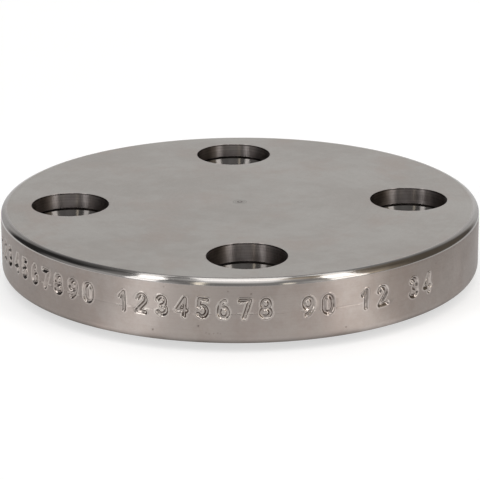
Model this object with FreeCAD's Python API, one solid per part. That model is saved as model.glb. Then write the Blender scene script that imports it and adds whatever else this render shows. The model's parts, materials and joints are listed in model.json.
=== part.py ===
import FreeCAD, Part
import math
import os

# Raised-face blind flange, ASME B16.5 size NPS 3/4, class 150.
# It is one solid disc of stainless steel with no moving parts.
#
# Frame: millimetres, +Z up.  The origin is the centre of the raised sealing face,
# which looks down and is what the disc stands on.  The plain back face is on top.
# The bolt holes lie on the X and Y axes.

OUTSIDE_DIAMETER = 98.4         # 3 7/8 in
BODY_THICKNESS = 13.2           # from the shoulder round the raised face to the back face
RAISED_FACE_DIAMETER = 42.9
RAISED_FACE_HEIGHT = 1.6

BOLT_CIRCLE_DIAMETER = 69.85    # 2 3/4 in
BOLT_HOLE_DIAMETER = 15.9       # 5/8 in, for 1/2 in stud bolts
BOLT_HOLE_COUNT = 4
BOLT_HOLE_EDGE_BREAK = 0.1      # 45 degree deburring cut at both mouths of each hole

BACK_EDGE_RADIUS = 1.3          # between the back face and the rim
FRONT_EDGE_RADIUS = 1.7         # between the rim and the shoulder
RAISED_FACE_ROOT_RADIUS = 0.8   # tool-nose radius where the raised face meets the shoulder
RAISED_FACE_EDGE_BREAK = 0.2    # 45 degree cut round the sealing face

RIM_RADIUS = OUTSIDE_DIAMETER / 2
RAISED_FACE_RADIUS = RAISED_FACE_DIAMETER / 2
SHOULDER_Z = RAISED_FACE_HEIGHT
BACK_Z = RAISED_FACE_HEIGHT + BODY_THICKNESS

AXIS_POINT = FreeCAD.Vector(0, 0, 0)
AXIS_DIRECTION = FreeCAD.Vector(0, 0, 1)
FULL_TURN = 360


def profile_point(radius, z):
    """A point of a half section, which is drawn in the XZ plane."""
    return FreeCAD.Vector(radius, 0, z)


def line(start, end):
    return Part.LineSegment(start, end).toShape()


def quarter_arc(centre, radius, start_degrees):
    """A quarter circle in the XZ plane, running on 90 degrees from start_degrees."""
    points = []
    for turn in (0, 45, 90):
        angle = math.radians(start_degrees + turn)
        offset = FreeCAD.Vector(math.cos(angle), 0, math.sin(angle)) * radius
        points.append(centre + offset)
    return Part.Arc(points[0], points[1], points[2]).toShape()


def turned_disc():
    """The disc as it comes off the lathe: a closed half section turned round the axis."""
    axis_bottom = profile_point(0, 0)
    face_end = profile_point(RAISED_FACE_RADIUS - RAISED_FACE_EDGE_BREAK, 0)
    face_side_start = profile_point(RAISED_FACE_RADIUS, RAISED_FACE_EDGE_BREAK)
    face_side_end = profile_point(RAISED_FACE_RADIUS, SHOULDER_Z - RAISED_FACE_ROOT_RADIUS)
    shoulder_start = profile_point(RAISED_FACE_RADIUS + RAISED_FACE_ROOT_RADIUS, SHOULDER_Z)
    shoulder_end = profile_point(RIM_RADIUS - FRONT_EDGE_RADIUS, SHOULDER_Z)
    rim_start = profile_point(RIM_RADIUS, SHOULDER_Z + FRONT_EDGE_RADIUS)
    rim_end = profile_point(RIM_RADIUS, BACK_Z - BACK_EDGE_RADIUS)
    back_start = profile_point(RIM_RADIUS - BACK_EDGE_RADIUS, BACK_Z)
    axis_top = profile_point(0, BACK_Z)

    root_centre = profile_point(
        RAISED_FACE_RADIUS + RAISED_FACE_ROOT_RADIUS, SHOULDER_Z - RAISED_FACE_ROOT_RADIUS)
    front_edge_centre = profile_point(
        RIM_RADIUS - FRONT_EDGE_RADIUS, SHOULDER_Z + FRONT_EDGE_RADIUS)
    back_edge_centre = profile_point(RIM_RADIUS - BACK_EDGE_RADIUS, BACK_Z - BACK_EDGE_RADIUS)

    outline = Part.Wire([
        line(axis_bottom, face_end),
        line(face_end, face_side_start),
        line(face_side_start, face_side_end),
        quarter_arc(root_centre, RAISED_FACE_ROOT_RADIUS, 90),
        line(shoulder_start, shoulder_end),
        quarter_arc(front_edge_centre, FRONT_EDGE_RADIUS, 270),
        line(rim_start, rim_end),
        quarter_arc(back_edge_centre, BACK_EDGE_RADIUS, 0),
        line(back_start, axis_top),
        line(axis_top, axis_bottom),
    ])
    return Part.Face(outline).revolve(AXIS_POINT, AXIS_DIRECTION, FULL_TURN)


def bolt_hole_cutter():
    """A through hole on the Z axis, flared at both faces by the edge break."""
    radius = BOLT_HOLE_DIAMETER / 2
    overrun = 1
    flare = radius + BOLT_HOLE_EDGE_BREAK
    outline = Part.makePolygon([
        profile_point(0, SHOULDER_Z - overrun),
        profile_point(flare + overrun, SHOULDER_Z - overrun),
        profile_point(flare, SHOULDER_Z),
        profile_point(radius, SHOULDER_Z + BOLT_HOLE_EDGE_BREAK),
        profile_point(radius, BACK_Z - BOLT_HOLE_EDGE_BREAK),
        profile_point(flare, BACK_Z),
        profile_point(flare + overrun, BACK_Z + overrun),
        profile_point(0, BACK_Z + overrun),
        profile_point(0, SHOULDER_Z - overrun),
    ])
    return Part.Face(outline).revolve(AXIS_POINT, AXIS_DIRECTION, FULL_TURN)


def flange_disc():
    """The turned disc with its ring of bolt holes drilled through."""
    disc = turned_disc()
    for index in range(BOLT_HOLE_COUNT):
        cutter = bolt_hole_cutter()
        cutter.translate(FreeCAD.Vector(BOLT_CIRCLE_DIAMETER / 2, 0, 0))
        cutter.rotate(AXIS_POINT, AXIS_DIRECTION, index * FULL_TURN / BOLT_HOLE_COUNT)
        disc = disc.cut(cutter)
    return disc.Solids[0]


SUBPARTS = {"flange_disc": flange_disc}

os.makedirs("parts", exist_ok=True)
for node, make in SUBPARTS.items():
    shape = make()
    shape.exportStep("parts/" + node + ".step")
    box = shape.BoundBox
    print(node, "valid", shape.isValid(), "volume mm3", round(shape.Volume, 1))
    print("  low ", round(box.XMin, 3), round(box.YMin, 3), round(box.ZMin, 3))
    print("  high", round(box.XMax, 3), round(box.YMax, 3), round(box.ZMax, 3))
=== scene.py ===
import json
import math
import random

import bpy
import numpy as np
from mathutils import Matrix, Vector
from mathutils.geometry import delaunay_2d_cdt


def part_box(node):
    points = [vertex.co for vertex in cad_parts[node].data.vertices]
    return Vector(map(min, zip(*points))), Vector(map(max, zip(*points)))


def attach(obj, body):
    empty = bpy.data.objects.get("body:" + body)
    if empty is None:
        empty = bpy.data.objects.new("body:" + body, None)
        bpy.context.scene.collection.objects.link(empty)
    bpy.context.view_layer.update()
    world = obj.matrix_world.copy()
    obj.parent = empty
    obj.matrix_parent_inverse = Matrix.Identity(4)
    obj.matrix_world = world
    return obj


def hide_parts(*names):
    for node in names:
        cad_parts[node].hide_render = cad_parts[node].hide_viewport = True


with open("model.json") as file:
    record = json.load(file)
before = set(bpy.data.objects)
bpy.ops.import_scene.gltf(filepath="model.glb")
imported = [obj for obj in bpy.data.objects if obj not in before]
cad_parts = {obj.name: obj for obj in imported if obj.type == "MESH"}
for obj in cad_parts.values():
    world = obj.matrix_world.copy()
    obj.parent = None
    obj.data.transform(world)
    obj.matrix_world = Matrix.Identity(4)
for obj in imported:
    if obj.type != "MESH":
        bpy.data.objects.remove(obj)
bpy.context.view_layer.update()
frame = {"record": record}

# The looks of a raised-face blind flange: one closed steel mesh with its machining marks,
# and the small studio that shows it.  Mesh work is in millimetres, and everything else in metres.

MM = 0.001
CAD_NODE = "flange_disc"
node_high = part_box(CAD_NODE)[1]
mounts = {mount["name"]: mount for mount in frame["record"]["mounts"]}
bolts = mounts["bolt_pattern"]["dims"]

# Sizes that the CAD part sets.
RIM_RADIUS = node_high.x / MM
BACK_Z = node_high.z / MM
HOLE_RADIUS = bolts["hole_r_mm"]
HOLE_COUNT = bolts["count"]
HOLE_CIRCLE_RADIUS = bolts["pcd_mm"] / 2
RAISED_FACE_RADIUS = 42.9 / 2
SHOULDER_Z = 1.6
BACK_EDGE_RADIUS = 1.3
FRONT_EDGE_RADIUS = 1.7
ROOT_RADIUS = 0.8
FACE_EDGE_BREAK = 0.2

# The edge break at the mouths of the holes, which is half as wide as in the CAD part.
HOLE_EDGE_BREAK = 0.05

# How finely the mesh is cut.  SUPPORT is from an edge to the extra ring that keeps its shading crisp,
# and FILL_SPACING is between the points of a flat face.
MARK_STEP = 0.12
PLAIN_COLUMN_STEP = 1.4
PLAIN_ROW_STEP = 0.5
EDGE_STEPS = 8
HOLE_SEGMENTS = 96
RAISED_FACE_SEGMENTS = 96
SUPPORT = 0.06
FILL_SPACING = 3.5

# The stamped marking: plain counting digits, struck one at a time with 4 mm hand stamps.
MARKING = "1234567890 12345678 90 12 34"
DIGIT_HEIGHT = 3.4
DIGIT_WIDTH = 1.8
DIGIT_PITCH_DEGREES = 4.69
MARKING_START_DEGREES = -78.7
MARKING_HEIGHT = 9.0
MARKING_DROP_START_DEGREES = 6.0
MARKING_DROP_PER_DEGREE = 0.0125
STROKE_HALF_WIDTH = 0.46
STROKE_FLAT_HALF_WIDTH = 0.13
STROKE_DEPTH = 0.34
STROKE_UNEVENNESS = 0.045
# How much darker the strokes are: deep down in them, and painted shade on their walls that face down and
# on their side walls.
STROKE_FLOOR_DARKENING = 0.22
UNDERCUT_PAINTED_SHADE = 0.6
SIDE_WALL_PAINTED_SHADE = 0.35
STAMPED_BEYOND = 0.015
LIP_HEIGHT = 0.06
LIP_OFFSET = 0.09
LIP_SPREAD = 0.1

# How unevenly the hand held and struck the stamps.
HAND_SEED = 5
HAND_TILT_DEGREES = 3.5
HAND_SHIFT = 0.1
HAND_LEAN_ACROSS = 0.16
HAND_LEAN_UP = 0.1
HAND_STRENGTHS = (0.85, 1.2)

# The scribed layout line round the rim, and small pits in the rim.
SCRIBE_HEIGHT = 8.0
SCRIBE_HALF_WIDTH = 0.17
SCRIBE_DEPTH = 0.06
SCRIBE_START_DEGREES = -54.0
SCRIBE_END_DEGREES = 27.0
SCRIBE_FADE = 2.0
SCRIBE_WOBBLES = (
    # height, rate along the rim, phase
    (0.05, 0.23, 0.0),
    (0.04, 0.61, 1.0),
)
PITS = (
    # degrees from the front, height, radius, depth, grime
    (-17.0, 12.8, 0.16, 0.05, 0.3),
    (-2.7, 12.5, 0.18, 0.06, 0.35),
    (2.4, 12.0, 0.2, 0.06, 0.45),
    (-9.3, 5.4, 0.19, 0.1, 0.7),
    (-19.8, 3.9, 0.19, 0.1, 0.5),
    (24.2, 3.7, 0.17, 0.08, 0.45),
    (51.0, 11.8, 0.18, 0.05, 0.25),
    (-7.6, 4.1, 0.15, 0.03, 0.25),
    (-6.9, 3.9, 0.15, 0.03, 0.3),
    (-5.9, 4.0, 0.15, 0.03, 0.3),
    (-5.0, 4.1, 0.15, 0.03, 0.3),
    (-4.4, 4.0, 0.15, 0.03, 0.25),
)

# How deep the drillings from the two sides of each bolt hole meet, from the hole on +X anticlockwise,
# and the size of the shallow ring there.  Below the ring and at its mouth the hole is burnished smoother,
# and its colour there is darker: painted shade.
MEETING_DEPTHS = (3.4, 2.8, 3.2, 3.8)
MEETING_RING_DEPTH = 0.5
MEETING_RING_HEIGHT = 1.85
MEETING_RING_UPRIGHT = 0.6
MEETING_STEP_HEIGHT = 0.1
MEETING_BURNISH_AND_SHADE = 1.5
MOUTH_BURNISH_AND_SHADE = 0.22

# The centre mark of the back face: (radius, height, grime) from its outer ring in to its middle.
CENTRE_MARK = (
    (1.5, 0.0, 0.0), (1.36, 0.0, 0.5), (1.2, 0.0, 0.0), (1.04, 0.0, 0.0), (0.92, 0.0, 0.6),
    (0.78, 0.0, 0.0), (0.64, 0.0, 0.0), (0.54, -0.004, 1.0), (0.36, -0.004, 1.0), (0.24, 0.01, 0.0),
    (0.12, 0.012, 0.0),
)
CENTRE_MARK_TOP = 0.014

# The gasket serrations of the raised face.
SERRATION_PITCH = 0.8
SERRATION_DEPTH = 0.05
SERRATION_INNER_RADIUS = 2.0

# The camera stands in front of the disc.  "Front" is this direction, and the marking is there.
CAMERA_AZIMUTH_DEGREES = -2.2
CAMERA_ELEVATION_DEGREES = 18.26
CAMERA_DISTANCE = 0.5313
CAMERA_AIM_HEIGHT = 0.0065
CAMERA_ROLL_DEGREES = -0.24
CAMERA_LENS = 192.2
FRONT_DEGREES = -90.0 + CAMERA_AZIMUTH_DEGREES


# ------------------------------------------------------------------ the digits of the marking

def bow(centre_x, centre_y, radius_x, radius_y, start_degrees, end_degrees, steps=14):
    """Points along part of an ellipse."""
    angles = np.radians(np.linspace(start_degrees, end_degrees, steps))
    return [(centre_x + radius_x * math.cos(a), centre_y + radius_y * math.sin(a)) for a in angles]


# Centre lines of the digits in a box 1 wide and 1 high, each a list of strokes.
DIGITS = {
    "0": [bow(0.5, 0.66, 0.5, 0.34, 0, 180) + bow(0.5, 0.34, 0.5, 0.34, 180, 360) + [(1.0, 0.66)]],
    "1": [[(0.12, 0.76), (0.55, 1.0), (0.55, 0.0)]],
    "2": [bow(0.5, 0.73, 0.47, 0.27, 165, -30) + [(0.0, 0.0), (1.0, 0.0)]],
    "3": [bow(0.46, 0.75, 0.44, 0.25, 150, -90), bow(0.46, 0.25, 0.5, 0.25, 90, -150)],
    "4": [[(0.76, 0.0), (0.76, 1.0), (0.0, 0.3), (1.0, 0.3)]],
    "5": [[(0.92, 1.0), (0.16, 1.0), (0.1, 0.56)] + bow(0.47, 0.31, 0.5, 0.31, 130, -145)],
    "6": [bow(0.5, 0.3, 0.47, 0.3, 0, 360), bow(0.86, 0.34, 0.83, 0.66, 183, 105)],
    "7": [[(0.0, 1.0), (1.0, 1.0), (0.35, 0.0)]],
    "8": [bow(0.5, 0.75, 0.4, 0.25, 0, 360), bow(0.5, 0.25, 0.5, 0.25, 0, 360)],
    "9": [bow(0.5, 0.7, 0.47, 0.3, 0, 360), bow(0.14, 0.66, 0.83, 0.66, 3, -75)],
}


def distance_to_strokes(x, y, strokes):
    """The distance from each point to the nearest stroke, all in millimetres."""
    nearest = np.full(x.shape, np.inf)
    for stroke in strokes:
        for (ax, ay), (bx, by) in zip(stroke, stroke[1:]):
            along_x = bx - ax
            along_y = by - ay
            length_squared = along_x ** 2 + along_y ** 2
            share = np.clip(((x - ax) * along_x + (y - ay) * along_y) / length_squared, 0, 1)
            gap = np.hypot(x - ax - share * along_x, y - ay - share * along_y)
            nearest = np.minimum(nearest, gap)
    return nearest


def straight_step(value, start, end):
    return np.clip((value - start) / (end - start), 0, 1)


def smooth_step(value, start, end):
    share = straight_step(value, start, end)
    return share * share * (3 - 2 * share)


def struck_profile(distance, depth):
    """The height of metal beside a stamp's stroke: a groove with sloping sides and a raised lip."""
    groove = -depth * (1 - straight_step(distance, STROKE_FLAT_HALF_WIDTH, STROKE_HALF_WIDTH))
    beyond = (distance - STROKE_HALF_WIDTH - LIP_OFFSET) / LIP_SPREAD
    lip = LIP_HEIGHT * np.exp(-beyond ** 2) * depth / STROKE_DEPTH
    return groove + lip


# ------------------------------------------------------------------ the rim and its marks

def marking_places():
    """Each digit with its angle from the front and the height of its middle."""
    places = []
    for index, character in enumerate(MARKING):
        if character == " ":
            continue
        degrees = MARKING_START_DEGREES + index * DIGIT_PITCH_DEGREES
        drop = max(0.0, degrees - MARKING_DROP_START_DEGREES) * MARKING_DROP_PER_DEGREE
        places.append((character, degrees, MARKING_HEIGHT - drop))
    return places


def graded(start, end, fine_spans, fine_step, plain_step):
    """Values from start up to end, in fine steps inside the fine spans and in plain steps elsewhere."""
    values = []
    value = start
    while value < end - fine_step / 2:
        values.append(value)
        inside = any(low <= value < high for low, high in fine_spans)
        to_next_span = min((low - value for low, _ in fine_spans if low > value), default=end - value)
        value += fine_step if inside else min(plain_step, max(to_next_span, fine_step))
    return values


def mark_reach():
    """How far a digit's raised lip reaches past the centre line of its strokes."""
    return STROKE_HALF_WIDTH + LIP_OFFSET + 1.5 * LIP_SPREAD


def rim_angles():
    """Angles of the rim's columns in degrees from the front."""
    millimetres_per_degree = math.radians(RIM_RADIUS)
    cell = (DIGIT_WIDTH / 2 + mark_reach()) / millimetres_per_degree
    spans = [(degrees - cell, degrees + cell) for _, degrees, _ in marking_places()]
    for degrees, _, radius, _, _ in PITS:
        reach = 2 * radius / millimetres_per_degree
        spans.append((degrees - reach, degrees + reach))
    fine_step = MARK_STEP / millimetres_per_degree
    plain_step = PLAIN_COLUMN_STEP / millimetres_per_degree
    return np.array(graded(-180.0, 180.0, spans, fine_step, plain_step))


def rim_heights():
    """Heights of the rim's rows, from the back edge down."""
    middles = [height for _, _, height in marking_places()]
    reach = DIGIT_HEIGHT / 2 + mark_reach() + HAND_SHIFT
    spans = [(min(middles) - reach, max(middles) + reach)]
    spans += [(height - 1.5 * radius, height + 1.5 * radius) for _, height, radius, _, _ in PITS]
    low = SHOULDER_Z + FRONT_EDGE_RADIUS
    high = BACK_Z - BACK_EDGE_RADIUS
    return np.array(graded(low, high, spans, MARK_STEP, PLAIN_ROW_STEP) + [high])[::-1]


def near_digit(angles, height):
    """Which columns lie within a digit's cell at this height."""
    half_width = (DIGIT_WIDTH / 2 + mark_reach()) / math.radians(RIM_RADIUS)
    half_height = DIGIT_HEIGHT / 2 + mark_reach()
    near = np.zeros(angles.shape, dtype=bool)
    for _, degrees, middle in marking_places():
        if abs(height - middle) < half_height:
            near |= np.abs(angles - degrees) < half_width
    return near


def rim_relief(angles, heights):
    """How far each point of the rim stands out from the turned cylinder, in millimetres, and how much
    darker it is, from 0 to 1: dark pits, darker deep in the stamped strokes, and painted shade on the
    stroke walls that face down and on their side walls."""
    across = np.radians(angles) * RIM_RADIUS
    grid_across, grid_height = np.meshgrid(across, heights)
    relief = np.zeros(grid_across.shape)
    pitted = np.zeros(grid_across.shape)

    wobble = sum(size * np.sin(grid_across * rate + phase) for size, rate, phase in SCRIBE_WOBBLES)
    from_line = np.abs(grid_height - SCRIBE_HEIGHT - wobble)
    line = 1 - smooth_step(from_line, 0, SCRIBE_HALF_WIDTH)
    start = math.radians(SCRIBE_START_DEGREES) * RIM_RADIUS
    end = math.radians(SCRIBE_END_DEGREES) * RIM_RADIUS
    line *= smooth_step(grid_across, start - SCRIBE_FADE, start)
    line *= smooth_step(-grid_across, -end - SCRIBE_FADE, -end)
    relief -= SCRIBE_DEPTH * line

    for degrees, height, radius, depth, darkening in PITS:
        gap = np.hypot(grid_across - math.radians(degrees) * RIM_RADIUS, grid_height - height)
        relief -= depth * (1 - smooth_step(gap, 0, radius * 1.4))
        pitted = np.maximum(pitted, darkening * (1 - smooth_step(gap, radius * 0.5, radius * 1.4)))

    hand = random.Random(HAND_SEED)
    for index, (character, degrees, height) in enumerate(marking_places()):
        tilt = math.radians(hand.uniform(-HAND_TILT_DEGREES, HAND_TILT_DEGREES))
        middle = math.radians(degrees) * RIM_RADIUS + hand.uniform(-HAND_SHIFT, HAND_SHIFT)
        height += hand.uniform(-HAND_SHIFT, HAND_SHIFT)
        lean_x = hand.uniform(-HAND_LEAN_ACROSS, HAND_LEAN_ACROSS)
        lean_y = hand.uniform(-HAND_LEAN_UP, HAND_LEAN_UP)
        strength = hand.uniform(*HAND_STRENGTHS)
        strokes = []
        for stroke in DIGITS[character]:
            strokes.append([((x - 0.5) * DIGIT_WIDTH, (y - 0.5) * DIGIT_HEIGHT) for x, y in stroke])
        columns = np.flatnonzero(np.abs(across - middle) < DIGIT_WIDTH)
        patch = np.ix_(range(len(heights)), columns)
        offset_x = grid_across[patch] - middle
        offset_y = grid_height[patch] - height
        x = offset_x * math.cos(tilt) + offset_y * math.sin(tilt)
        y = offset_y * math.cos(tilt) - offset_x * math.sin(tilt)
        distance = distance_to_strokes(x, y, strokes)
        depth = STROKE_DEPTH * strength * (1 + lean_x * x + lean_y * y)
        waves = np.sin(x * 5.1 + index) * np.sin(y * 3.7 + 2.0 * index)
        struck = struck_profile(distance, depth + STROKE_UNEVENNESS * waves)
        untouched = smooth_step(distance, STROKE_FLAT_HALF_WIDTH, STROKE_HALF_WIDTH)
        relief[patch] = relief[patch] * untouched + struck

    # Darker deep in the strokes, and painted shade on the stroke walls that face down and on their side
    # walls.
    rise = np.gradient(relief, heights, axis=0)
    side = np.abs(np.gradient(relief, across, axis=1))
    darkening = STROKE_FLOOR_DARKENING * smooth_step(-relief, STROKE_DEPTH * 0.3, STROKE_DEPTH * 0.9)
    on_wall = smooth_step(-relief, 0.02, 0.08)
    darkening += on_wall * UNDERCUT_PAINTED_SHADE * smooth_step(rise, 0.3, 1.2)
    darkening += on_wall * SIDE_WALL_PAINTED_SHADE * smooth_step(side, 0.4, 1.4)
    return relief, np.maximum(pitted, np.minimum(darkening, 0.8))


# ------------------------------------------------------------------ the mesh

class Skin:
    """The points and faces of one closed mesh, in millimetres."""

    def __init__(self):
        self.points = []
        self.faces = []
        self.finishes = []
        self.stains_and_shade = []

    def add(self, points):
        first = len(self.points)
        self.points.extend(points)
        self.stains_and_shade.extend([0.0] * len(points))
        return list(range(first, len(self.points)))

    def ring(self, radius, height, degrees, centre=(0.0, 0.0)):
        """A ring of points at the given angles, which may run either way round."""
        radii = np.broadcast_to(radius, len(degrees))
        turns = np.radians(degrees)
        x = centre[0] + radii * np.cos(turns)
        y = centre[1] + radii * np.sin(turns)
        return self.add([(px, py, height) for px, py in zip(x, y)])

    def band(self, first, second, finish):
        """Faces between two rings.  Going from first to second with the angles growing, the outside is
        on the side that a cylinder's outside is when second is below first.  finish is one name, or a
        name for each face."""
        count = len(first)
        for index in range(count):
            after = (index + 1) % count
            self.faces.append((second[index], second[after], first[after], first[index]))
            self.finishes.append(finish if isinstance(finish, str) else finish[index])

    def bands(self, rings, finish):
        for first, second in zip(rings, rings[1:]):
            self.band(first, second, finish)

    def cap(self, ring, centre, finish):
        """A fan from a ring to a point inside it, facing where the ring runs anticlockwise."""
        for index in range(len(ring)):
            after = (index + 1) % len(ring)
            self.faces.append((ring[index], ring[after], centre))
            self.finishes.append(finish)

    def flat(self, outer, holes, height, finish, facing_up):
        """A flat face inside the ring outer, with a hole inside each ring of holes."""
        loops = [outer] + holes
        numbers = []
        hole_of = {}
        edges = []
        for loop_index, loop in enumerate(loops):
            start = len(numbers)
            count = len(loop)
            edges.extend((start + i, start + (i + 1) % count) for i in range(count))
            for number in loop:
                hole_of[len(numbers)] = loop_index
                numbers.append(number)
        numbers.extend(self.add(filling_points(outer, holes, self.points, height)))
        flat_points = [Vector(self.points[number][:2]) for number in numbers]
        result = delaunay_2d_cdt(flat_points, edges, [], 0, 1e-6)
        originals = [ids[0] for ids in result[3]]
        for triangle in result[2]:
            corners = [originals[corner] for corner in triangle]
            homes = {hole_of.get(corner, -1) for corner in corners}
            if len(homes) == 1 and homes.pop() > 0:
                continue
            face = tuple(numbers[corner] for corner in corners)
            self.faces.append(face if facing_up else face[::-1])
            self.finishes.append(finish)


def filling_points(outer, holes, points, height):
    """Points spread evenly over a flat round face, clear of its edge and of its holes."""
    outer_x, outer_y, _ = points[outer[0]]
    outer_radius = math.hypot(outer_x, outer_y)
    centres = []
    for hole in holes:
        first = points[hole[0]]
        middle = np.mean([points[number][:2] for number in hole], axis=0)
        centres.append((middle, math.hypot(first[0] - middle[0], first[1] - middle[1])))
    spread = []
    radius = outer_radius - FILL_SPACING * 0.5
    while radius > 0:
        count = max(6, round(2 * math.pi * radius / FILL_SPACING))
        for index in range(count):
            turn = 2 * math.pi * (index + 0.5) / count
            x = radius * math.cos(turn)
            y = radius * math.sin(turn)
            gaps = [math.hypot(x - middle[0], y - middle[1]) - size for middle, size in centres]
            if min(gaps) > FILL_SPACING * 0.45:
                spread.append((x, y, height))
        radius -= FILL_SPACING
    return spread


def arc_ring_places(centre_radius, centre_height, radius, start_degrees, end_degrees, steps):
    """(radius, height) of the rings along a rounded edge, without its first ring."""
    places = []
    for step in range(1, steps + 1):
        turn = math.radians(start_degrees + (end_degrees - start_degrees) * step / steps)
        places.append((centre_radius + radius * math.cos(turn), centre_height + radius * math.sin(turn)))
    return places


def hole_profile(meeting_depth):
    """(radius, height, finish) down a bolt hole from the back face to the shoulder.

    The hole was drilled from both sides, and the two drillings meet in a shallow ring, whose wall is
    upright at first and then slopes in."""
    mouth = HOLE_RADIUS + HOLE_EDGE_BREAK
    top = BACK_Z
    bottom = SHOULDER_Z
    meeting = top - meeting_depth
    places = [(mouth, top, "face")]
    places.append((HOLE_RADIUS, top - HOLE_EDGE_BREAK, "bore"))
    # A band below the mouth's edge break gets the burnished finish, which is painted darker as shade.
    places.append((HOLE_RADIUS, top - MOUTH_BURNISH_AND_SHADE, "drilled"))
    places.append((HOLE_RADIUS, meeting + SUPPORT, "bore"))
    places.append((HOLE_RADIUS, meeting, "bore"))
    ring_radius = HOLE_RADIUS + MEETING_RING_DEPTH
    places.append((ring_radius, meeting - MEETING_STEP_HEIGHT, "drilled"))
    places.append((ring_radius, meeting - MEETING_STEP_HEIGHT - SUPPORT, "drilled"))
    places.append((ring_radius, meeting - MEETING_RING_UPRIGHT + SUPPORT, "drilled"))
    # Two more rings near the ends of the slope keep its shading crisp.
    for share in (0.0, 0.05, 0.95, 1.0):
        radius = HOLE_RADIUS + MEETING_RING_DEPTH * (1 - share)
        drop = MEETING_RING_UPRIGHT + (MEETING_RING_HEIGHT - MEETING_RING_UPRIGHT) * share
        places.append((radius, meeting - drop, "drilled"))
    places.append((HOLE_RADIUS, meeting - MEETING_RING_HEIGHT - MEETING_BURNISH_AND_SHADE, "drilled"))
    places.append((HOLE_RADIUS, bottom + HOLE_EDGE_BREAK, "bore"))
    places.append((mouth, bottom, "bore"))
    return places


def add_bolt_hole(skin, index):
    """A bolt hole's wall.  Returns its rings on the back face and on the shoulder."""
    turn = 2 * math.pi * index / HOLE_COUNT
    centre = (HOLE_CIRCLE_RADIUS * math.cos(turn), HOLE_CIRCLE_RADIUS * math.sin(turn))
    clockwise = -np.arange(HOLE_SEGMENTS) * 360.0 / HOLE_SEGMENTS
    previous = None
    rings = []
    for radius, height, finish in hole_profile(MEETING_DEPTHS[index]):
        ring = skin.ring(radius, height, clockwise, centre)
        if previous is not None:
            skin.band(previous, ring, finish)
        previous = ring
        rings.append(ring)
    return rings[0], rings[-1]


def add_centre_mark(skin):
    """The centre mark: a small ring left by the tailstock centre, inside two faint ones.  Returns its
    outer ring."""
    segments = 48
    degrees = np.arange(segments) * 360.0 / segments
    rings = []
    for radius, height, darkening in CENTRE_MARK:
        ring = skin.ring(radius, BACK_Z + height, degrees)
        for number in ring:
            skin.stains_and_shade[number] = darkening
        rings.append(ring)
    for outer, inner in zip(rings, rings[1:]):
        skin.band(inner, outer, "face")
    middle = skin.add([(0.0, 0.0, BACK_Z + CENTRE_MARK_TOP)])[0]
    skin.cap(rings[-1], middle, "face")
    return rings[0]


def add_raised_face(skin, shoulder_degrees):
    """The raised face with its serrations.  Returns its ring on the shoulder."""
    root = RAISED_FACE_RADIUS + ROOT_RADIUS
    places = [(root + SUPPORT, SHOULDER_Z, "face")]
    places.append((root, SHOULDER_Z, "face"))
    for radius, height in arc_ring_places(root, SHOULDER_Z - ROOT_RADIUS, ROOT_RADIUS, 90, 180, 5):
        places.append((radius, height, "edge"))
    places.append((RAISED_FACE_RADIUS, FACE_EDGE_BREAK + SUPPORT, "edge"))
    places.append((RAISED_FACE_RADIUS, FACE_EDGE_BREAK, "edge"))
    places.append((RAISED_FACE_RADIUS - FACE_EDGE_BREAK, 0.0, "edge"))
    quarter = SERRATION_PITCH / 4
    outermost = RAISED_FACE_RADIUS - FACE_EDGE_BREAK - quarter
    steps = int((outermost - SERRATION_INNER_RADIUS) / quarter)
    for step in range(steps):
        phase = step % 4
        height = SERRATION_DEPTH * (0.0, 0.62, 1.0, 0.62)[phase]
        places.append((outermost - step * quarter, height, "serration"))
    places.append((SERRATION_INNER_RADIUS, 0.0, "serration"))
    previous = None
    first = None
    for radius, height, finish in places:
        ring = skin.ring(radius, height, shoulder_degrees)
        if previous is not None:
            skin.band(previous, ring, finish)
        first = first or ring
        previous = ring
    centre = skin.add([(0.0, 0.0, 0.0)])[0]
    skin.cap(previous[::-1], centre, "serration")
    return first


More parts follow.
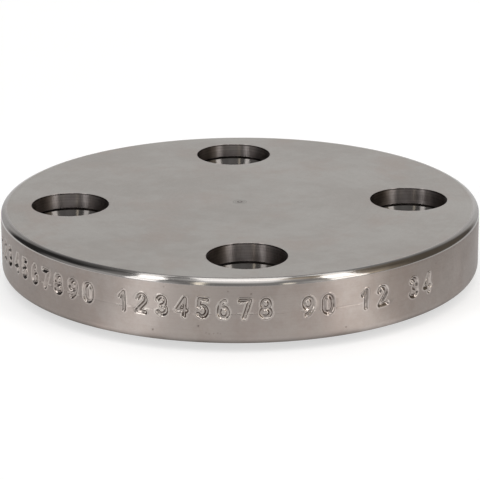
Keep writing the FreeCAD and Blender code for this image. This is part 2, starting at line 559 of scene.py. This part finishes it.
def flange_skin():
    """The whole flange, as one closed skin."""
    skin = Skin()
    angles = rim_angles()
    degrees = angles + FRONT_DEGREES

    heights = rim_heights()
    rim_top = heights[0]
    rim_bottom = heights[-1]
    relief, stains_and_shade = rim_relief(angles, heights)

    edge_centre = RIM_RADIUS - BACK_EDGE_RADIUS
    rings = [skin.ring(edge_centre - SUPPORT, BACK_Z, degrees), skin.ring(edge_centre, BACK_Z, degrees)]
    skin.band(rings[0], rings[1], "face")
    back_outer = rings[0]
    edge = [rings[1]]
    for radius, height in arc_ring_places(edge_centre, rim_top, BACK_EDGE_RADIUS, 90, 0, EDGE_STEPS)[:-1]:
        edge.append(skin.ring(radius, height, degrees))
    rim = []
    for row, height in enumerate(heights):
        ring = skin.ring(RIM_RADIUS + relief[row], height, degrees)
        for number, stain_and_shade in zip(ring, stains_and_shade[row]):
            skin.stains_and_shade[number] = float(stain_and_shade)
        rim.append(ring)
    edge.append(rim[0])
    skin.bands(edge, "edge")
    for row, (upper, lower) in enumerate(zip(rim, rim[1:])):
        disturbed = np.abs(relief[row:row + 2]).max(axis=0)
        disturbed = np.maximum(disturbed, np.roll(disturbed, -1))
        struck = (disturbed > STAMPED_BEYOND) & near_digit(angles, (heights[row] + heights[row + 1]) / 2)
        skin.band(upper, lower, ["stamped" if face else "rim" for face in struck])

    lower_centre = RIM_RADIUS - FRONT_EDGE_RADIUS
    lower = [rim[-1]]
    for radius, height in arc_ring_places(lower_centre, rim_bottom, FRONT_EDGE_RADIUS, 0, -90, EDGE_STEPS):
        lower.append(skin.ring(radius, height, degrees))
    skin.bands(lower, "rim")
    shoulder_outer = skin.ring(lower_centre - SUPPORT, SHOULDER_Z, degrees)
    skin.band(lower[-1], shoulder_outer, "face")

    back_holes = []
    shoulder_holes = []
    for index in range(HOLE_COUNT):
        on_back, on_shoulder = add_bolt_hole(skin, index)
        back_holes.append(on_back)
        shoulder_holes.append(on_shoulder)
    face_degrees = np.arange(RAISED_FACE_SEGMENTS) * 360.0 / RAISED_FACE_SEGMENTS
    skin.flat(back_outer, back_holes + [add_centre_mark(skin)], BACK_Z, "face", True)
    face_ring = add_raised_face(skin, face_degrees)
    skin.flat(shoulder_outer, shoulder_holes + [face_ring], SHOULDER_Z, "face", False)
    return skin


def sharpen_hole_mouths(mesh):
    """Marks the level edges round each hole's mouth as sharp, so that the flat faces shade flat."""
    centres = []
    for index in range(HOLE_COUNT):
        turn = 2 * math.pi * index / HOLE_COUNT
        centres.append(Vector((math.cos(turn), math.sin(turn))) * HOLE_CIRCLE_RADIUS)
    sharp = []
    levels = (BACK_Z, BACK_Z - HOLE_EDGE_BREAK, SHOULDER_Z, SHOULDER_Z + HOLE_EDGE_BREAK)
    tolerance = 0.001
    reach = HOLE_RADIUS + HOLE_EDGE_BREAK + tolerance
    for edge in mesh.edges:
        ends = [mesh.vertices[number].co / MM for number in edge.vertices]
        level = any(all(abs(end.z - height) < tolerance for end in ends) for height in levels)
        near = any(all((end.xy - centre).length < reach for end in ends) for centre in centres)
        sharp.append(level and near)
    attribute = mesh.attributes.new("sharp_edge", "BOOLEAN", "EDGE")
    attribute.data.foreach_set("value", sharp)


def make_flange(finishes):
    """Turns the skin into a Blender mesh object with one material slot per finish."""
    skin = flange_skin()
    mesh = bpy.data.meshes.new("blind_flange")
    mesh.from_pydata([Vector(point) * MM for point in skin.points], [], skin.faces)
    for material in finishes.values():
        mesh.materials.append(material)
    order = list(finishes)
    mesh.polygons.foreach_set("material_index", [order.index(finish) for finish in skin.finishes])
    mesh.polygons.foreach_set("use_smooth", [True] * len(mesh.polygons))
    # How much darker each point is: dark pits and centre mark, and the stamped strokes with painted shade
    # on their walls.
    attribute = mesh.attributes.new("stain_and_shade", "FLOAT", "POINT")
    attribute.data.foreach_set("value", skin.stains_and_shade)
    mesh.validate()
    mesh.update()
    sharpen_hole_mouths(mesh)
    piece = bpy.data.objects.new("blind_flange", mesh)
    bpy.context.scene.collection.objects.link(piece)
    return piece


# ------------------------------------------------------------------ materials

class Sheet:
    """Short ways to add nodes to a node tree."""

    def __init__(self, tree):
        self.tree = tree

    def node(self, kind, inputs=None, **settings):
        made = self.tree.nodes.new(kind)
        for name, value in settings.items():
            setattr(made, name, value)
        for name, value in (inputs or {}).items():
            self.put(made.inputs[name], value)
        return made

    def put(self, socket, value):
        """Links an output to a socket, or sets a plain value on it."""
        if isinstance(value, bpy.types.NodeSocket):
            self.tree.links.new(value, socket)
        else:
            socket.default_value = value

    def math(self, operation, first, second=0.0, clamp=False):
        made = self.tree.nodes.new("ShaderNodeMath")
        made.operation = operation
        made.use_clamp = clamp
        self.put(made.inputs[0], first)
        self.put(made.inputs[1], second)
        return made.outputs[0]

    def ease(self, value, start, end, low=0.0, high=1.0):
        """Maps value from start..end to low..high with soft ends."""
        made = self.node("ShaderNodeMapRange", interpolation_type="SMOOTHSTEP")
        self.put(made.inputs["Value"], value)
        made.inputs["From Min"].default_value = start
        made.inputs["From Max"].default_value = end
        made.inputs["To Min"].default_value = low
        made.inputs["To Max"].default_value = high
        return made.outputs["Result"]

    def noise(self, vector, scale, detail=3.0, roughness=0.55):
        made = self.node("ShaderNodeTexNoise", {"Scale": scale, "Detail": detail, "Roughness": roughness})
        self.put(made.inputs["Vector"], vector)
        return made.outputs["Fac"]

    def mix(self, share, first, second):
        made = self.node("ShaderNodeMix", data_type="RGBA")
        self.put(made.inputs["Factor"], share)
        self.put(made.inputs["A"], first)
        self.put(made.inputs["B"], second)
        return made.outputs["Result"]


def new_material(name):
    material = bpy.data.materials.new(name)
    material.use_nodes = True
    tree = material.node_tree
    tree.nodes.clear()
    sheet = Sheet(tree)
    output = sheet.node("ShaderNodeOutputMaterial")
    shader = sheet.node("ShaderNodeBsdfPrincipled")
    tree.links.new(shader.outputs["BSDF"], output.inputs["Surface"])
    return material, sheet, shader


# The dark colour mixed in where the mesh says: dark pits and centre mark, and the stamped strokes with
# painted shade on their walls.
GRIME_AND_SHADE = (0.09, 0.07, 0.06, 1.0)

# How closely each unevenness of the steel repeats, per metre.
CLOUDS = 55.0
SMEARS = 260.0
GRAIN = 2600.0
BROWN_PATCHES = 80.0
LINE_BREAKS = 14.0


def steel(name, light, dark, roughness, spread, anisotropy, lay, groove, groove_depth,
          line_contrast=0.02, grazing=0.76, browning=0.35):
    """Machined stainless steel.

    light and dark are the two colours it drifts between, roughness is its mean and spread how far it
    drifts.  lay is how the tool ran: "face" leaves rings round the Z axis, and "rim" leaves level lines.
    groove is the lines' pitch and groove_depth their depth, in millimetres, and line_contrast is how
    much lighter or darker they are than the steel between them.  grazing scales the gloss at the
    shallowest angles, and browning is how far its brown patches go.
    """
    material, sheet, shader = new_material(name)
    place = sheet.node("ShaderNodeTexCoord").outputs["Object"]
    parts = sheet.node("ShaderNodeSeparateXYZ", {"Vector": place})
    level = sheet.node("ShaderNodeCombineXYZ", {"X": parts.outputs["X"], "Y": parts.outputs["Y"]})
    from_axis = sheet.node("ShaderNodeVectorMath", {0: level.outputs[0]}, operation="LENGTH")

    across = from_axis.outputs["Value"] if lay == "face" else parts.outputs["Z"]
    lines_at = sheet.node("ShaderNodeCombineXYZ", {
        "X": sheet.math("MULTIPLY", across, 1 / (groove * MM)),
        "Y": sheet.math("MULTIPLY", parts.outputs["X"], LINE_BREAKS),
        "Z": sheet.math("MULTIPLY", parts.outputs["Y"], LINE_BREAKS),
    })
    lines = sheet.noise(lines_at.outputs[0], 1.0, 2.0, 0.6)

    wiped = sheet.node("ShaderNodeMapping", {"Vector": place})
    wiped.inputs["Scale"].default_value = (0.9, 1.1, 1.0)
    wiped.inputs["Rotation"].default_value = (0.0, 0.0, 0.35)
    clouds = sheet.noise(wiped.outputs["Vector"], CLOUDS, 3.0, 0.6)
    smears = sheet.noise(wiped.outputs["Vector"], SMEARS, 4.0, 0.65)
    grain = sheet.noise(place, GRAIN, 2.0, 0.5)
    drift = sheet.math("ADD", sheet.math("MULTIPLY", clouds, 0.5), sheet.math("MULTIPLY", smears, 0.5))
    share = sheet.ease(drift, 0.4, 0.6)
    colour = sheet.mix(share, (*dark, 1.0), (*light, 1.0))
    elsewhere = sheet.node("ShaderNodeMapping", {"Vector": place})
    elsewhere.inputs["Location"].default_value = (0.31, 0.17, 0.05)
    patches = sheet.noise(elsewhere.outputs["Vector"], BROWN_PATCHES, 5.0, 0.7)
    browned = sheet.ease(patches, 0.48, 0.7, 0.0, browning)
    brown = tuple(value * tone for value, tone in zip(dark, (1.02, 0.93, 0.9)))
    colour = sheet.mix(browned, colour, (*brown, 1.0))

    line_tone = sheet.ease(lines, 0.3, 0.7, 1 - line_contrast, 1 + line_contrast)
    toned = sheet.node("ShaderNodeVectorMath", {0: colour, 1: line_tone}, operation="MULTIPLY")

    # Darker where the mesh's attribute says: dark pits and centre mark, and painted shade on the stamped
    # strokes' walls.
    stain_and_shade = sheet.node("ShaderNodeAttribute", attribute_name="stain_and_shade", attribute_type="GEOMETRY")
    colour = sheet.mix(stain_and_shade.outputs["Fac"], toned.outputs["Vector"], GRIME_AND_SHADE)

    gloss = sheet.math("ADD", sheet.math("MULTIPLY", smears, 0.5), sheet.math("MULTIPLY", grain, 0.5))
    rough = sheet.ease(gloss, 0.3, 0.7, roughness - spread, roughness + spread)

    height = sheet.math("ADD", lines, sheet.math("MULTIPLY", grain, 0.15))
    depth = groove_depth * MM
    bump = sheet.node("ShaderNodeBump", {"Height": height, "Distance": depth, "Strength": 1.0})

    if lay == "face":
        along = sheet.node("ShaderNodeTangent", direction_type="RADIAL", axis="Z").outputs["Tangent"]
    else:
        normal = sheet.node("ShaderNodeNewGeometry").outputs["Normal"]
        crossed = sheet.node("ShaderNodeVectorMath", {1: normal}, operation="CROSS_PRODUCT")
        crossed.inputs[0].default_value = (0.0, 0.0, 1.0)
        along = crossed.outputs["Vector"]
    sheet.put(shader.inputs["Base Color"], colour)
    sheet.put(shader.inputs["Roughness"], rough)
    sheet.put(shader.inputs["Normal"], bump.outputs["Normal"])
    sheet.put(shader.inputs["Tangent"], along)
    shader.inputs["Metallic"].default_value = 1.0
    shader.inputs["Anisotropic"].default_value = anisotropy
    shader.inputs["Anisotropic Rotation"].default_value = 0.25
    shader.inputs["Specular Tint"].default_value = (grazing, grazing, grazing, 1.0)
    return material


FINISHES = {
    "face": steel("turned_face", light=(0.46, 0.438, 0.412), dark=(0.405, 0.376, 0.35),
                  roughness=0.33, spread=0.05, anisotropy=0.12, lay="face", groove=0.18,
                  groove_depth=0.0004, browning=0.6),
    "edge": steel("bright_edge", light=(0.42, 0.40, 0.385), dark=(0.38, 0.36, 0.345),
                  roughness=0.11, spread=0.03, anisotropy=0.3, lay="rim", groove=0.15,
                  groove_depth=0.0005),
    "rim": steel("turned_rim", light=(0.40, 0.355, 0.33), dark=(0.345, 0.298, 0.272),
                 roughness=0.42, spread=0.07, anisotropy=0.76, lay="rim", groove=0.12,
                 groove_depth=0.0007),
    "stamped": steel("stamped_metal", light=(0.44, 0.40, 0.37), dark=(0.38, 0.335, 0.31),
                     roughness=0.16, spread=0.05, anisotropy=0.0, lay="rim", groove=0.3,
                     groove_depth=0.0),
    "bore": steel("drilled_bore", light=(0.41, 0.372, 0.358), dark=(0.3, 0.266, 0.255), grazing=0.4,
                  roughness=0.34, spread=0.03, anisotropy=0.97, lay="rim", groove=0.3, groove_depth=0.006,
                  line_contrast=0.14),
    # Smoother than the drilled bore, and painted darker as shade deep in the hole and at its mouth.
    "drilled": steel("burnished_bore_painted_shade", light=(0.15, 0.14, 0.134), dark=(0.137, 0.128, 0.122), grazing=0.4,
                     roughness=0.15, spread=0.02, anisotropy=0.3, lay="rim", groove=0.3,
                     groove_depth=0.001, line_contrast=0.05),
    "serration": steel("serrated_face", light=(0.42, 0.41, 0.40), dark=(0.38, 0.37, 0.36),
                       roughness=0.3, spread=0.04, anisotropy=0.5, lay="face", groove=0.1,
                       groove_depth=0.001),
}

flange = make_flange(FINISHES)
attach(flange, "root")
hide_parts(CAD_NODE)


# ------------------------------------------------------------------ the studio

# The table top, which only reflections see: it glows, with a painted shadow under the disc, dimmer
# towards its own edge, and painted light in two patches in front of the disc and all over on the
# camera's left.  Each pair is where a change starts and where it ends.
TABLE_RADIUS = 0.17
TABLE_SHADE = 0.08
TABLE_LIGHT = 0.92
TABLE_EDGE = 0.3
TABLE_LIT = 0.5
TABLE_LEFT = 0.22
TABLE_SHADE_ENDS = (0.046, 0.052)
TABLE_EDGE_STARTS = 0.085
TABLE_LIT_STARTS = (0.36, 0.5)
TABLE_LIT_ENDS = (0.69, 0.58)
TABLE_FRONT = (0.0, -0.02)
TABLE_LEFT_STARTS = (-0.055, -0.072)

# The floor, which the camera sees.
FLOOR_RADIUS = 0.9
FLOOR_WHITE = 0.45
FLOOR_UNEVENNESS = 0.01
FLOOR_GLOW = 0.6

# How bright each part of the room is.  PALE is what the camera sees of it.
PALE = 0.97
BACKDROP_LIGHT = 0.95
LEFT_DARK = 0.04
RIGHT_DARK = 0.16
CAMERA_SIDE = 0.26
FRONT_GLOW = 0.85
CEILING = 0.12
CEILING_MIDDLE = 0.3
LEFT_LOW = 0.35
RIGHT_LOW = 0.4
WARM = (1.0, 0.93, 0.78)
WALL_TINT = (1.0, 0.87, 0.7)


def studio_point(azimuth_degrees, elevation_degrees, distance):
    """A point seen from the disc: azimuth 0 is towards the camera and grows to the camera's right."""
    turn = math.radians(FRONT_DEGREES + azimuth_degrees)
    rise = math.radians(elevation_degrees)
    level = distance * math.cos(rise)
    return Vector((level * math.cos(turn), level * math.sin(turn), distance * math.sin(rise)))


def panel(name, low_end, high_end, width, radiance, colour=(1.0, 1.0, 1.0)):
    """A long rectangular light between the middles of its two ends, facing the disc."""
    disc = Vector((0.0, 0.0, BACK_Z * MM))
    along = high_end - low_end
    data = bpy.data.lights.new(name, "AREA")
    data.shape = "RECTANGLE"
    data.size = width
    data.size_y = along.length
    data.color = colour
    data.energy = radiance * math.pi * data.size * data.size_y
    light = bpy.data.objects.new(name, data)
    light.location = (low_end + high_end) / 2
    along.normalize()
    back = light.location - disc
    back = (back - along * back.dot(along)).normalized()
    light.rotation_euler = Matrix((along.cross(back), along, back)).transposed().to_euler()
    bpy.context.scene.collection.objects.link(light)


def panel_row(name, places, widths, radiances):
    """A light bent into a curve: panels, end to end, between places (azimuth, elevation, distance)."""
    middles = [studio_point(*place) for place in places]
    for index, (width, radiance) in enumerate(zip(widths, radiances)):
        panel(name + "_" + str(index + 1), middles[index], middles[index + 1], width, radiance)


def make_lights():
    """A bent softbox on each side, a strip overhead, and two small warm lamps in front."""
    left = [(-45, -4, 1.0), (-45, 8, 1.0), (-45, 22, 1.1), (-46, 40, 1.3),
            (-64, 60, 1.7), (-116, 69, 2.0), (-162, 57, 2.2), (-170, 44, 2.4)]
    right = [(50, -6, 1.0), (50, 8, 1.0), (50, 20, 1.1), (50, 35, 1.3),
             (67, 59, 1.7), (118, 67, 2.0), (162, 57, 2.2), (170, 44, 2.4)]
    radiances = (2.1, 1.4, 2.5, 3.8, 2.1, 1.4, 0.8)
    panel_row("left_softbox", left, (0.26, 0.26, 0.25, 0.25, 0.22, 0.18, 0.16), radiances)
    panel_row("right_softbox", right, (0.31, 0.31, 0.29, 0.29, 0.26, 0.21, 0.17), radiances)
    panel("boom_strip", studio_point(0, 68, 0.6), studio_point(180, 50, 1.65), 0.25, 1.7)
    panel("left_lamp", studio_point(-18, -9, 1.2), studio_point(-19.5, 38, 1.2), 0.085, 1.6, WARM)
    panel("right_lamp", studio_point(21.5, -7, 1.2), studio_point(21.5, 15, 1.2), 0.1, 1.2, WARM)


def stage_disc(name, radius, material):
    """A flat disc at floor level, which is part of the studio and not of the object."""
    mesh = bpy.data.meshes.new(name)
    segments = 128
    corners = [studio_point(index * 360 / segments, 0, radius) for index in range(segments)]
    mesh.from_pydata(corners, [], [tuple(range(segments))])
    mesh.materials.append(material)
    disc = bpy.data.objects.new(name, mesh)
    bpy.context.scene.collection.objects.link(disc)
    return disc


def make_floor():
    """The pale floor."""
    material, sheet, shader = new_material("pale_floor")
    place = sheet.node("ShaderNodeTexCoord").outputs["Object"]
    darkest = FLOOR_WHITE - FLOOR_UNEVENNESS
    lightest = FLOOR_WHITE + FLOOR_UNEVENNESS
    shade = sheet.ease(sheet.noise(place, 3.0), 0.3, 0.7, darkest, lightest)
    tone = sheet.node("ShaderNodeCombineColor", {"Red": shade, "Green": shade, "Blue": shade})
    sheet.put(shader.inputs["Base Color"], tone.outputs["Color"])
    shader.inputs["Roughness"].default_value = 0.9
    shader.inputs["Specular IOR Level"].default_value = 0.1
    shader.inputs["Emission Color"].default_value = (1.0, 1.0, 1.0, 1.0)
    shader.inputs["Emission Strength"].default_value = FLOOR_GLOW
    floor = stage_disc("studio_floor", FLOOR_RADIUS, material)
    floor.visible_glossy = False


def make_table():
    """A glowing table top in the floor's place, for reflections only, with a painted shadow and painted
    light.
    """
    material = bpy.data.materials.new("table_glow_painted_shadow")
    material.use_nodes = True
    material.node_tree.nodes.clear()
    sheet = Sheet(material.node_tree)
    place = sheet.node("ShaderNodeTexCoord").outputs["Object"]
    from_axis = sheet.node("ShaderNodeVectorMath", {0: place}, operation="LENGTH").outputs["Value"]
    glow = sheet.ease(from_axis, *TABLE_SHADE_ENDS, TABLE_SHADE, TABLE_LIGHT)
    fade = sheet.ease(from_axis, TABLE_EDGE_STARTS, TABLE_RADIUS, 1.0, TABLE_EDGE)
    glow = sheet.math("MULTIPLY", glow, fade)
    parts = sheet.node("ShaderNodeSeparateXYZ", {"Vector": place})
    beside = sheet.math("DIVIDE", sheet.math("ABSOLUTE", parts.outputs["X"]), from_axis)
    patches = sheet.math("MULTIPLY", sheet.ease(beside, *TABLE_LIT_STARTS),
                         sheet.ease(beside, *TABLE_LIT_ENDS))
    lit = sheet.math("MULTIPLY", patches, sheet.ease(parts.outputs["Y"], *TABLE_FRONT, 0.0, TABLE_LIT))
    left = sheet.ease(parts.outputs["X"], *TABLE_LEFT_STARTS, 1.0, 1.0 + TABLE_LEFT)
    glow = sheet.math("MULTIPLY", glow, sheet.math("ADD", lit, left))
    emission = sheet.node("ShaderNodeEmission", {"Strength": glow})
    output = sheet.node("ShaderNodeOutputMaterial")
    material.node_tree.links.new(emission.outputs["Emission"], output.inputs["Surface"])
    table = stage_disc("studio_table", TABLE_RADIUS, material)
    table.visible_camera = False
    table.visible_diffuse = False
    table.visible_shadow = False


def make_world():
    """A bright backdrop behind the disc and a dim room round the rest.  The camera sees it all pale."""
    world = bpy.data.worlds.new("studio")
    bpy.context.scene.world = world
    world.use_nodes = True
    tree = world.node_tree
    tree.nodes.clear()
    sheet = Sheet(tree)
    direction = sheet.node("ShaderNodeTexCoord").outputs["Generated"]
    turned = sheet.node("ShaderNodeVectorRotate", {"Vector": direction}, rotation_type="Z_AXIS")
    turned.inputs["Angle"].default_value = -math.radians(CAMERA_AZIMUTH_DEGREES)
    parts = sheet.node("ShaderNodeSeparateXYZ", {"Vector": turned.outputs["Vector"]})
    right = parts.outputs["X"]
    away = parts.outputs["Y"]
    up = parts.outputs["Z"]
    level = sheet.math("SQRT", sheet.math("ADD", sheet.math("MULTIPLY", right, right),
                                          sheet.math("MULTIPLY", away, away)))
    level = sheet.math("MAXIMUM", level, 0.001)
    behind = sheet.math("DIVIDE", away, level)
    beside = sheet.math("DIVIDE", right, level)

    # The backdrop ends well below the zenith and is brightest in its middle.
    towards_backdrop = sheet.math("SUBTRACT", behind, sheet.math("MULTIPLY", beside, 0.05))
    backdrop = sheet.math("MULTIPLY", sheet.ease(towards_backdrop, 0.67, 0.86), sheet.ease(up, 0.85, 0.2))
    centre = sheet.ease(behind, 0.9, 1.0, 0.72, 1.0)
    backdrop = sheet.math("MULTIPLY", backdrop, sheet.math("MULTIPLY", centre, BACKDROP_LIGHT))

    # The room is darker on the left than on the right, and lighter round the camera and above it.
    room = sheet.ease(beside, -0.3, 0.4, LEFT_DARK, RIGHT_DARK)
    camera_side = sheet.math("MULTIPLY", sheet.ease(behind, 0.0, -0.4), CAMERA_SIDE)
    overhead = sheet.math("MULTIPLY", sheet.ease(away, -0.1, -0.45), sheet.ease(up, 0.35, 0.8))
    overhead = sheet.math("MULTIPLY", overhead, sheet.ease(sheet.math("ABSOLUTE", right), 0.31, 0.2))
    overhead = sheet.math("MULTIPLY", overhead, FRONT_GLOW)

    # Its side walls are lighter low down, and the ceiling is lighter than the room.
    left_low = sheet.math("MULTIPLY", sheet.ease(beside, -0.4, -0.6), sheet.ease(behind, 0.35, 0.0))
    right_low = sheet.math("MULTIPLY", sheet.ease(beside, 0.4, 0.6), sheet.ease(behind, -0.25, -0.5))
    low = sheet.math("ADD", sheet.math("MULTIPLY", left_low, LEFT_LOW),
                     sheet.math("MULTIPLY", right_low, RIGHT_LOW))
    low = sheet.math("MULTIPLY", low, sheet.ease(up, 0.45, 0.15))
    light = sheet.math("ADD", sheet.math("ADD", backdrop, room), sheet.math("ADD", camera_side, overhead))
    ceiling = sheet.ease(sheet.math("ABSOLUTE", right), 0.45, 0.3, CEILING, CEILING_MIDDLE)
    ceiling = sheet.math("MULTIPLY", sheet.ease(up, 0.65, 0.9), ceiling)
    light = sheet.math("ADD", light, sheet.math("ADD", low, ceiling))

    # The wall on the right is warmer.  The camera sees one plain pale colour.
    seen = sheet.node("ShaderNodeLightPath").outputs["Is Camera Ray"]
    light = sheet.math("ADD", sheet.math("MULTIPLY", light, sheet.math("SUBTRACT", 1.0, seen)),
                       sheet.math("MULTIPLY", seen, PALE))
    tinted = sheet.math("MULTIPLY", sheet.ease(beside, 0.5, 0.9), sheet.math("SUBTRACT", 1.0, seen))
    tint = sheet.mix(tinted, (1.0, 1.0, 1.0, 1.0), (*WALL_TINT, 1.0))
    background = sheet.node("ShaderNodeBackground", {"Strength": light, "Color": tint})
    output = sheet.node("ShaderNodeOutputWorld")
    tree.links.new(background.outputs["Background"], output.inputs["Surface"])


def make_camera():
    """The camera, in front of the disc and looking down on it a little."""
    data = bpy.data.cameras.new("camera")
    data.lens = CAMERA_LENS
    data.sensor_width = 36.0
    data.clip_start = 0.05
    data.clip_end = 20.0
    camera = bpy.data.objects.new("camera", data)
    aim = Vector((0.0, 0.0, CAMERA_AIM_HEIGHT))
    camera.location = aim + studio_point(0, CAMERA_ELEVATION_DEGREES, CAMERA_DISTANCE)
    level = (aim - camera.location).to_track_quat("-Z", "Y").to_matrix().to_4x4()
    roll = Matrix.Rotation(math.radians(CAMERA_ROLL_DEGREES), 4, "Z")
    camera.rotation_euler = (level @ roll).to_euler()
    bpy.context.scene.collection.objects.link(camera)
    bpy.context.scene.camera = camera


make_lights()
make_floor()
make_table()
make_world()
make_camera()
bpy.context.scene.view_settings.view_transform = "Standard"
